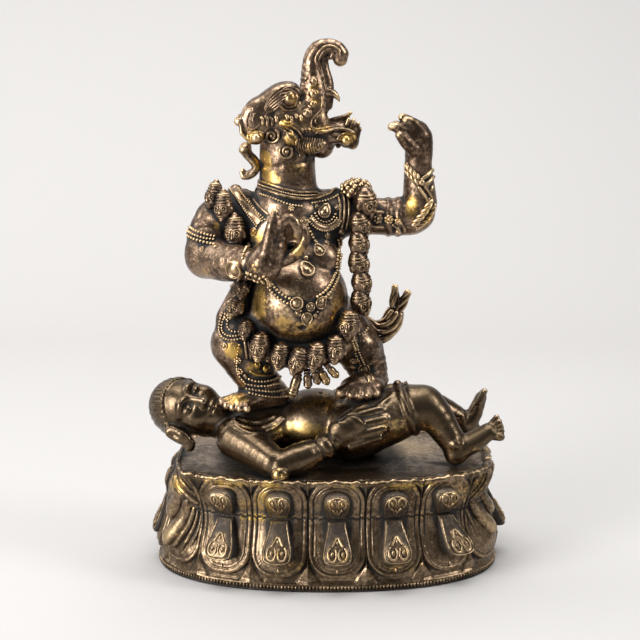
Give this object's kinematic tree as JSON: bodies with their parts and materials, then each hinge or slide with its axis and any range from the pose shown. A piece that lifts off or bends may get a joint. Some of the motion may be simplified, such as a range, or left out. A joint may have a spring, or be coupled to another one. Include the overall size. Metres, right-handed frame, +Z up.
{
  "type": "gilt bronze deity figure",
  "caption": "Cast bronze deity with a curling-snouted water beast's head, striding over a recumbent man on an oval double lotus base.",
  "frame": {"origin": "on the base's flat underside, 0.8 mm to the viewer's right of its middle", "axes": "+Z up, +X towards the viewer's right as the deity is faced, +Y away from the viewer"},
  "size_m": [0.1088, 0.0682, 0.1606],
  "materials": {
    "base_bronze": "cast bronze with a dark olive-brown patina and worn traces of gilding",
    "recumbent_bronze": "smooth cast bronze with a warm brown patina and a little gold showing",
    "deity_bronze": "chased cast bronze, blackened in its recesses, gilding left on the neck, belly and thighs"
  },
  "bodies": {
    "root": {"lotus_base": "base_bronze", "recumbent_figure": "recumbent_bronze", "standing_deity": "deity_bronze"}
  },
  "joints": []
}
